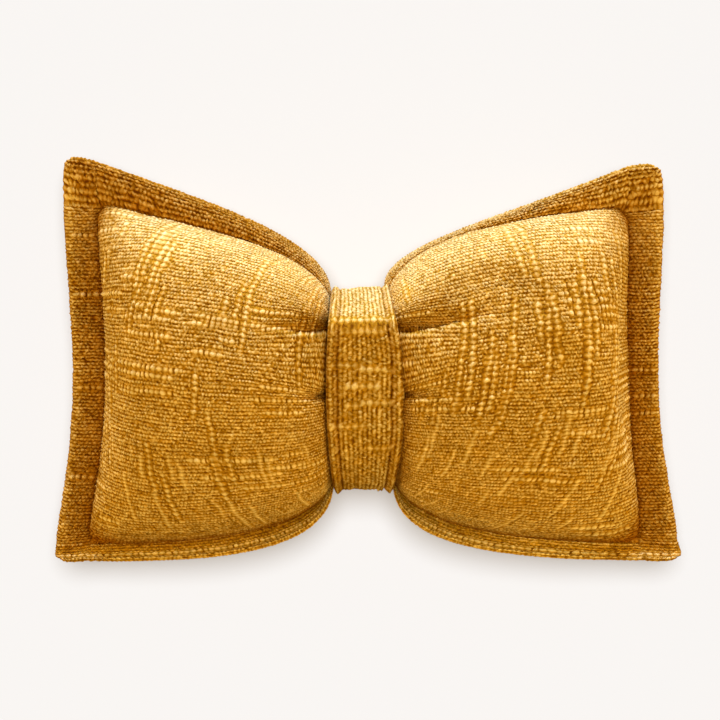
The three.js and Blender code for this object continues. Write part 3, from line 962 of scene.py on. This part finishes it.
def band_slubs(q_face, count):
    """The band's thick yarn: beads along the crease and short rows of slubs."""
    table = []
    for q, run, thick in BAND_RANKS:
        at = float(np.interp(q, q_face, np.arange(len(q_face)))) / (count - 1)
        table.append({"way": "column", "at": at, "run": run, "thick": thick,
                      "smooth": 0.3, "sway": 0.9, "taper": 1, "dark": 0.3})
    return table


def make_band(settings):
    sizes, cloth = settings.sizes, settings.cloth
    ring, out, ring_q, q_face = band_ring(sizes)
    q, count = ring_q[:, None], len(ring)
    w = np.linspace(-1, 1, BAND_WIDTH_STEPS + 1)
    edge = np.abs(w)
    rib, groove = bell(edge - 0.87, 0.09), bell(edge - 0.71, 0.045)
    above_crease = np.clip((q - BAND_CREASE) / 0.08, 0, 1)
    on_front = np.arange(count) <= BAND_LENGTH_STEPS
    crease = (bell((ring_q - BAND_CREASE) * BAND_HALF, 2.2) * on_front)[:, None]

    weave = Weave(count, BAND_WIDTH_STEPS + 1, cloth.seed + 40, band_slubs(q_face, count), rough=1.5)
    fade = np.clip((1 - edge) / 0.06, 0, 1)[None, :]
    relief = mix(weave.relief, LEVEL_RELIEF, 0.4 * above_crease)
    thick = CLOTH_THICKNESS + 2.3 * rib - 1.4 * groove - 1.6 * np.clip((edge - 0.94) / 0.06, 0, 1) ** 2
    height = thick[None, :] + relief * fade * cloth.relief / MM + 0.8 * (crease * (1 - groove - rib))
    # Painted shade in the groove, at the edges and in a line below the crease, and painted light on the
    # crease row and above it
    shade = 1.1 * groove[None, :] + 0.7 * np.clip((edge - 0.95) / 0.05, 0, 1)[None, :] + np.zeros((count, 1))
    shade += 0.5 * bell((q - BAND_CREASE + 0.032) * BAND_HALF, 1.1) * (1 - rib)
    shade -= 0.6 * crease + 0.25 * above_crease

    x_left = Lobe("left", sizes).band_edge_x(q) + CLEARANCE
    x_right = Lobe("right", sizes).band_edge_x(q) - CLEARANCE + np.interp(q, *BAND_LAP)

    def placed(lift, w_line, lean, rise):
        """Points outside the ring by lift, at w_line across it, moved by lean across and by rise along."""
        x = mix(x_left, x_right, (w_line + 1) / 2)
        yz = ring[:, None, :] + out[:, None, :] * lift[..., None]
        slant = np.where(q > 0, BAND_RISE * (1 + w_line) * q, BAND_ARCH * (1 - w_line**2) * q**2)
        y = BAND_CENTRE_Y + yz[..., 0] + (slant + rise)
        return in_place(np.stack([x + lean, y, yz[..., 1]], axis=-1), sizes)

    outside = placed(height, w, weave.up * fade, weave.along * fade * 1.2)
    inside = placed(np.zeros((count, 3)), np.array([1.0, 0.0, -1.0]), 0.0, 0.0)

    def wrapped(front, back):
        """A grid right round the band, with its first column and row again at the end."""
        grid = np.concatenate([front, back, front[:, :1]], axis=1)
        return np.concatenate([grid, grid[:1]], axis=0)

    values = {"relief": relief, "thick": weave.thick, "edge": np.minimum(shade, BAND_DARKEST)}
    values = {key: wrapped(value, np.zeros((count, 3))) for key, value in values.items()}
    grid = wrapped(outside, inside)
    bm = weave_mesh(values)
    add_grid(bm, grid, False, values)
    bmesh.ops.remove_doubles(bm, verts=bm.verts, dist=1e-6)
    bmesh.ops.recalc_face_normals(bm, faces=bm.faces)
    piece = new_object("wrap_band_cloth", bm)
    scale_texture(piece, grid.shape[0] - 1, grid.shape[1] - 1)
    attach(piece, "root")
    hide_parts("wrap_band")
    return piece


class Value:
    """A number that a node gives. Arithmetic with it adds Math nodes to the material."""

    def __init__(self, socket):
        self.socket = socket

    def calc(self, operation, *terms):
        tree = self.socket.id_data
        made = tree.nodes.new("ShaderNodeMath")
        made.operation = operation
        for socket, term in zip(made.inputs, terms):
            if isinstance(term, Value):
                tree.links.new(term.socket, socket)
            else:
                socket.default_value = term
        return Value(made.outputs[0])

    def __add__(self, other):
        return self.calc("ADD", self, other)

    def __sub__(self, other):
        return self.calc("SUBTRACT", self, other)

    def __rsub__(self, other):
        return self.calc("SUBTRACT", other, self)

    def __mul__(self, other):
        return self.calc("MULTIPLY", self, other)

    def __truediv__(self, other):
        return self.calc("DIVIDE", self, other)

    def __pow__(self, other):
        return self.calc("POWER", self, other)

    def __abs__(self):
        return self.calc("ABSOLUTE", self)

    def nearest(self):
        return self.calc("ROUND", self)

    def fraction(self):
        return self.calc("FRACT", self)

    def root(self):
        return self.calc("SQRT", self)

    def at_least(self, least):
        return self.calc("MAXIMUM", self, least)

    def at_most(self, most):
        return self.calc("MINIMUM", self, most)


def cloth_material(name, cloth, bright):
    """Coarse chenille weave. Its colour follows the relief of the beads, and a fine bump gives them fibre."""
    material = bpy.data.materials.new(name)
    material.use_nodes = True
    nodes, links = material.node_tree.nodes, material.node_tree.links
    nodes.clear()

    def node(kind, sockets=None, **settings):
        """A node with these settings. A socket gets a number, a colour or a link from another socket."""
        made = nodes.new(kind)
        for key, value in settings.items():
            setattr(made, key, value)
        for key, value in (sockets or {}).items():
            value = value.socket if isinstance(value, Value) else value
            if isinstance(value, bpy.types.NodeSocket):
                links.new(value, made.inputs[key])
            else:
                made.inputs[key].default_value = value
        return made

    def attribute(key):
        return Value(node("ShaderNodeAttribute", attribute_name=key).outputs["Fac"])

    # Each bead has a whole number along its row, and each row has its own start
    weave = node("ShaderNodeSeparateXYZ", {0: node("ShaderNodeUVMap", uv_map="weave").outputs[0]})
    place, line = Value(weave.outputs[0]), Value(weave.outputs[1])
    row = line.nearest()
    start = Value(node("ShaderNodeTexWhiteNoise", {"W": row}, noise_dimensions="1D").outputs["Value"])
    along = place + (row * 0.5 + start * 0.5)
    bead = along.nearest()
    key = node("ShaderNodeCombineXYZ", {0: bead, 1: row}).outputs[0]
    chance = Value(node("ShaderNodeTexWhiteNoise", {"Vector": key}, noise_dimensions="2D").outputs["Value"])

    # The dome of a bead, from 1 on its top to 0 at its sides and ends, longer on a slub and taller on a chain
    thick = attribute("thick")
    plain = 1.0 - abs(thick).at_most(1.0)
    tall = (thick * -1.0).at_least(0.0)
    long = (thick - 1.0).at_least(0.0)
    across = line - row
    lean = along - bead + across * cloth.slant
    beside = (abs(lean) / (chance * 0.25 + 0.5)) ** 2.0 * plain
    long_place = place / SLUB_BEAD
    long_lean = long_place - long_place.nearest() + across * 0.15
    long_beside = (abs(long_lean) * 2.0) ** 2.0 * long
    shift = ((chance * 7.3).fraction() - 0.5) * 0.35
    above = (abs(across + shift * plain) * (1.7 - long * 0.6)) ** 2.0
    tall_place = line / 1.5
    tall_above = ((tall_place - tall_place.nearest()) * 2.0) ** 2.0
    above = above * (1.0 - tall) + tall_above * tall
    dome = (1.0 - (beside + long_beside + above)).at_least(0.0).root()

    # The colour by the yarn's height, from painted shade in the gaps and on the bead sides to painted light
    # on the highest beads, with more painted shade where the edge attribute says so, or painted light where
    # it is below 0
    edge = attribute("edge")
    level = attribute("relief") * (dome * 0.3 + 0.2) * (1.0 - edge * 0.2)
    ramp = node("ShaderNodeValToRGB", {0: level})
    stops = [
        (0.0, cloth.gap_colour),
        (0.15, cloth.shade_colour),
        (0.42, cloth.yarn_colour),
        (0.9, cloth.slub_colour),
    ]
    while len(ramp.color_ramp.elements) < len(stops):
        ramp.color_ramp.elements.new(0.5)
    for element, (position, colour) in zip(ramp.color_ramp.elements, stops):
        element.position = position
        element.color = (*[c * bright for c in colour], 1.0)
    # The edge attribute multiplies in the painted shade tint, and below 0 pales the colour as painted light
    first, second = 6, 7  # the two colours among the sockets of a Mix node
    painted_light_and_shade = node("ShaderNodeMix", {0: edge, first: ramp.outputs["Color"], second: (*cloth.painted_shade_tint, 1.0)},
                data_type="RGBA", blend_type="MULTIPLY", clamp_factor=False)

    # Cloudy changes over a hand's width, and from bead to bead
    spot = node("ShaderNodeTexCoord").outputs["Object"]
    broad = Value(node("ShaderNodeTexNoise", {"Vector": spot, "Scale": 22, "Detail": 3}).outputs["Fac"])
    tone = chance * 0.24 + broad * 0.3 + 0.73
    vary = node("ShaderNodeHueSaturation", {"Value": tone, "Color": painted_light_and_shade.outputs[2]})

    fibre = Value(node("ShaderNodeTexNoise", {"Vector": spot, "Scale": 1300, "Detail": 2}).outputs["Fac"])
    bump = node("ShaderNodeBump", {"Strength": 0.9, "Distance": 0.0011, "Height": dome + fibre * 0.5})
    yarn = {"Base Color": vary.outputs["Color"], "Normal": bump.outputs["Normal"]}
    shader = node("ShaderNodeBsdfPrincipled", {**yarn, "Roughness": 0.5, "Specular IOR Level": 0.0})
    node("ShaderNodeOutputMaterial", {"Surface": shader.outputs[0]})
    for number, made in enumerate(nodes):
        made.location = 200 * (number % 12), -300 * (number // 12)
    return material


def stage_material(colour, glow):
    material = bpy.data.materials.new("pale_floor")
    material.use_nodes = True
    shader = material.node_tree.nodes["Principled BSDF"]
    shader.inputs["Base Color"].default_value = (*colour, 1.0)
    shader.inputs["Emission Color"].default_value = GLOW_COLOUR
    shader.inputs["Emission Strength"].default_value = glow
    shader.inputs["Roughness"].default_value = 0.9
    shader.inputs["Specular IOR Level"].default_value = 0.1
    return material


class PillowSizes(bpy.types.PropertyGroup):
    """Heights of the filled pillow above the surface that it lies on."""

    seam_height: FloatProperty(
        name="Seam height", description="Height of the seam all round", default=0.062, unit="LENGTH")
    front_crown: FloatProperty(
        name="Front crown", description="Height of the face above the seam", default=0.068, unit="LENGTH")
    back_crown: FloatProperty(
        name="Back crown", description="Depth of the back below the seam before it is flattened",
        default=0.067, unit="LENGTH")
    waist_crown: FloatProperty(
        name="Waist", description="Half the thickness of the gathered middle", default=0.05, unit="LENGTH")
    pressure: FloatProperty(
        name="Filling pressure", description="How hard the filling pushes in the simulation",
        default=4.0, min=0.0)
    ease: FloatProperty(
        name="Ease", description="How much more cloth than shape there is, as a share",
        default=0.004, min=0.0, max=0.2)
    settle_limit: FloatProperty(
        name="Settling limit", description="How far the filling may move the cloth",
        default=0.005, unit="LENGTH")


class PillowCloth(bpy.types.PropertyGroup):
    """The weave and its colours."""

    relief: FloatProperty(
        name="Bead height", description="How far a bead of yarn stands out of the gaps",
        default=0.0017, unit="LENGTH")
    slubs_across: IntProperty(
        name="Slubs along rows", description="Thick places along the rows of one face", default=42, min=0)
    slubs_rising: IntProperty(
        name="Slubs up columns", description="Thick places across the rows of one face", default=34, min=0)
    seed: IntProperty(
        name="Seed", description="Another number gives another spread of slubs", default=3)
    fill: FloatProperty(
        name="Fill", description="How tightly the pillow is filled",
        default=0.8, min=0, max=1, subtype="FACTOR")
    slant: FloatProperty(
        name="Slant", description="How far the loops of yarn lean along their row", default=0.45)
    # The yarn's own colour is yarn_colour; gap_colour and shade_colour are painted shade in the gaps and on
    # the bead sides, and slub_colour is painted light on the highest beads
    gap_colour: FloatVectorProperty(
        name="Gaps", description="Colour between the beads",
        default=(0.19, 0.05, 0.001), subtype="COLOR", min=0, max=1)
    shade_colour: FloatVectorProperty(
        name="Bead sides", description="Colour of the sides of the beads",
        default=(0.43, 0.158, 0.003), subtype="COLOR", min=0, max=1)
    yarn_colour: FloatVectorProperty(
        name="Beads", description="Colour of the tops of the beads",
        default=(0.74, 0.395, 0.055), subtype="COLOR", min=0, max=1)
    slub_colour: FloatVectorProperty(
        name="Slubs", description="Colour of the thickest yarn",
        default=(0.8, 0.48, 0.11), subtype="COLOR", min=0, max=1)
    # Painted shade: the colour that the edge attribute multiplies in
    painted_shade_tint: FloatVectorProperty(
        name="Hollow tint", description="What multiplies the colour where the cloth is in shade",
        default=(0.72, 0.6, 0.42), subtype="COLOR", min=0, max=1)


class PillowStage(bpy.types.PropertyGroup):
    """The floor, the lamps and the camera."""

    floor_colour: FloatVectorProperty(
        name="Floor", description="Colour of the floor",
        default=(0.2, 0.2, 0.2), subtype="COLOR", min=0, max=1)
    floor_glow: FloatProperty(
        name="Floor glow", description="Even light from the floor itself, as from a lit table",
        default=0.383, min=0)
    camera_distance: FloatProperty(
        name="Camera distance", description="From the middle of the pillow",
        default=CAMERA_DISTANCE, unit="LENGTH")
    camera_tilt: FloatProperty(
        name="Camera tilt", description="How far the camera looks down on the upper edge",
        default=math.radians(8), subtype="ANGLE")
    key_power: FloatProperty(
        name="Key lamp", description="Power of the low lamp beyond the upper edge", default=91.0, min=0)
    upper_power: FloatProperty(
        name="Upper lamp", description="Power of the high lamp beyond the upper edge", default=4.0, min=0)
    side_power: FloatProperty(
        name="Side lamps", description="Power of the lamp on each side", default=27.0, min=0)
    front_power: FloatProperty(
        name="Front lamp", description="Power of the lamp over the face", default=28.0, min=0)
    low_power: FloatProperty(
        name="Low lamp", description="Power of the lamp beyond the lower edge", default=5.0, min=0)
    shadow_power: FloatProperty(
        name="Shadow lamp", description="Strength of the lamp that casts the shadow on the floor",
        default=9.4, min=0)
    sky: FloatProperty(
        name="Sky", description="Strength of the even light from all round", default=0.05, min=0)


class PillowSettings(bpy.types.PropertyGroup):
    """All settings of the pillow."""

    sizes: PointerProperty(type=PillowSizes, name="Sizes", description="Heights of the filled pillow")
    cloth: PointerProperty(type=PillowCloth, name="Cloth", description="The weave and its colours")
    stage: PointerProperty(type=PillowStage, name="Stage", description="Floor, lamps and camera")


def area_lamp(name, place, size, power, colour, target, lit):
    """A lamp that looks at target and lights only what is in the collection lit."""
    data = bpy.data.lights.new(name, "AREA")
    data.shape = "RECTANGLE"
    data.size, data.size_y = size
    data.energy = power
    data.color = colour
    lamp = bpy.data.objects.new(name, data)
    lamp.location = place
    lamp.rotation_euler = (target - lamp.location).to_track_quat("-Z", "Y").to_euler()
    lamp.light_linking.receiver_collection = lit
    bpy.context.scene.collection.objects.link(lamp)


class PILLOW_OT_stage(bpy.types.Operator):
    """Make the floor, the lamps and the camera"""

    bl_idname = "pillow.make_stage"
    bl_label = "Stage"

    def execute(self, context):
        scene = context.scene
        stage, sizes = scene.pillow.stage, scene.pillow.sizes
        scene.view_settings.view_transform = "Standard"
        bm = bmesh.new()
        bmesh.ops.create_grid(bm, x_segments=1, y_segments=1, size=FLOOR_REACH)
        bmesh.ops.translate(bm, vec=(0, 0, -FLOOR_GAP), verts=bm.verts)
        floor = new_object("floor", bm)
        floor.data.materials.append(stage_material(stage.floor_colour, stage.floor_glow))
        floor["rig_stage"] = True

        world = bpy.data.worlds.new("even_light")
        world.use_nodes = True
        world.node_tree.nodes["Background"].inputs["Color"].default_value = SKY_COLOUR
        world.node_tree.nodes["Background"].inputs["Strength"].default_value = stage.sky
        scene.world = world

        pillow_only = bpy.data.collections.new("pillow_light")
        floor_only = bpy.data.collections.new("floor_light")
        floor_only.objects.link(floor)
        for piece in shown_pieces():
            if not piece.hide_render and "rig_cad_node" not in piece:
                pillow_only.objects.link(piece)

        target = Vector((0.0, 0.0, sizes.seam_height))
        for name, place, size, power, colour in (
            ("key", (0.0, 2.1, 0.15), (1.8, 0.26), stage.key_power, KEY_COLOUR),
            ("upper", (0.0, 1.1, 1.95), (1.4, 0.7), stage.upper_power, LAMP_COLOUR),
            ("left", (-1.8, 0.0, 1.0), (0.9, 1.6), stage.side_power, LAMP_COLOUR),
            ("right", (1.8, 0.0, 1.0), (0.9, 1.6), stage.side_power * RIGHT_LAMP_SHARE, LAMP_COLOUR),
            ("low", (0.0, -1.7, 0.9), (2.0, 0.9), stage.low_power, LAMP_COLOUR),
            ("front", (0.0, 0.0, 2.5), (1.0, 1.0), stage.front_power, LAMP_COLOUR),
        ):
            area_lamp(name, place, size, power, colour, target, pillow_only)
        sun = bpy.data.objects.new("shadow", bpy.data.lights.new("shadow", "SUN"))
        sun.data.energy, sun.data.angle, sun.data.color = stage.shadow_power, SUN_WIDTH, SUN_COLOUR
        sun.rotation_euler = (-math.radians(SUN_TILT), 0, 0)
        sun.light_linking.receiver_collection = floor_only
        scene.collection.objects.link(sun)

        data = bpy.data.cameras.new("camera")
        data.sensor_width = CAMERA_SENSOR
        data.lens = CAMERA_SENSOR / 2 / (HALF_VIEW / CAMERA_DISTANCE)
        data.clip_start, data.clip_end = 0.05, 40
        camera = bpy.data.objects.new("camera", data)
        back = Vector((0, math.sin(stage.camera_tilt), math.cos(stage.camera_tilt)))
        camera.location = target + back * stage.camera_distance + Vector((CAMERA_ASIDE, 0, 0))
        camera.rotation_euler = (-stage.camera_tilt, 0, 0)
        scene.collection.objects.link(camera)
        scene.camera = camera
        return {"FINISHED"}


class PILLOW_OT_lobes(bpy.types.Operator):
    """Make the two filled lobes with their flanges"""

    bl_idname = "pillow.make_lobes"
    bl_label = "Lobes"

    def execute(self, context):
        settings = context.scene.pillow
        finish = cloth_material("slub_weave", settings.cloth, 1.0)
        for name in LOBES:
            make_lobe(name, settings).data.materials.append(finish)
        return {"FINISHED"}


class PILLOW_OT_band(bpy.types.Operator):
    """Make the band that gathers the waist"""

    bl_idname = "pillow.make_band"
    bl_label = "Wrap band"

    def execute(self, context):
        settings = context.scene.pillow
        # The band's copy of the cloth has its colours 6 % darker, as painted shade
        finish = cloth_material("slub_weave_painted_darker", settings.cloth, 0.94)
        make_band(settings).data.materials.append(finish)
        return {"FINISHED"}


class PILLOW_PT_panel(bpy.types.Panel):
    """The pillow's pieces and settings"""

    bl_idname = "PILLOW_PT_panel"
    bl_label = "Bow-shaped pillow"
    bl_space_type = "VIEW_3D"
    bl_region_type = "UI"
    bl_category = "Pillow"

    def draw(self, context):
        layout = self.layout
        settings = context.scene.pillow
        for operator in OPERATORS:
            layout.operator(operator.bl_idname)
        for group in (settings.sizes, settings.cloth, settings.stage):
            box = layout.box()
            for key in group.__annotations__:
                box.prop(group, key)


OPERATORS = (PILLOW_OT_lobes, PILLOW_OT_band, PILLOW_OT_stage)
CLASSES = (PillowSizes, PillowCloth, PillowStage, PillowSettings, *OPERATORS, PILLOW_PT_panel)


def register():
    for kind in CLASSES:
        bpy.utils.register_class(kind)
    bpy.types.Scene.pillow = PointerProperty(
        type=PillowSettings, name="Pillow", description="Settings of the pillow")


def unregister():
    del bpy.types.Scene.pillow
    for kind in reversed(CLASSES):
        bpy.utils.unregister_class(kind)


def main():
    register()
    bpy.ops.pillow.make_lobes()
    bpy.ops.pillow.make_band()
    bpy.ops.pillow.make_stage()


if __name__ == "__main__":
    main()
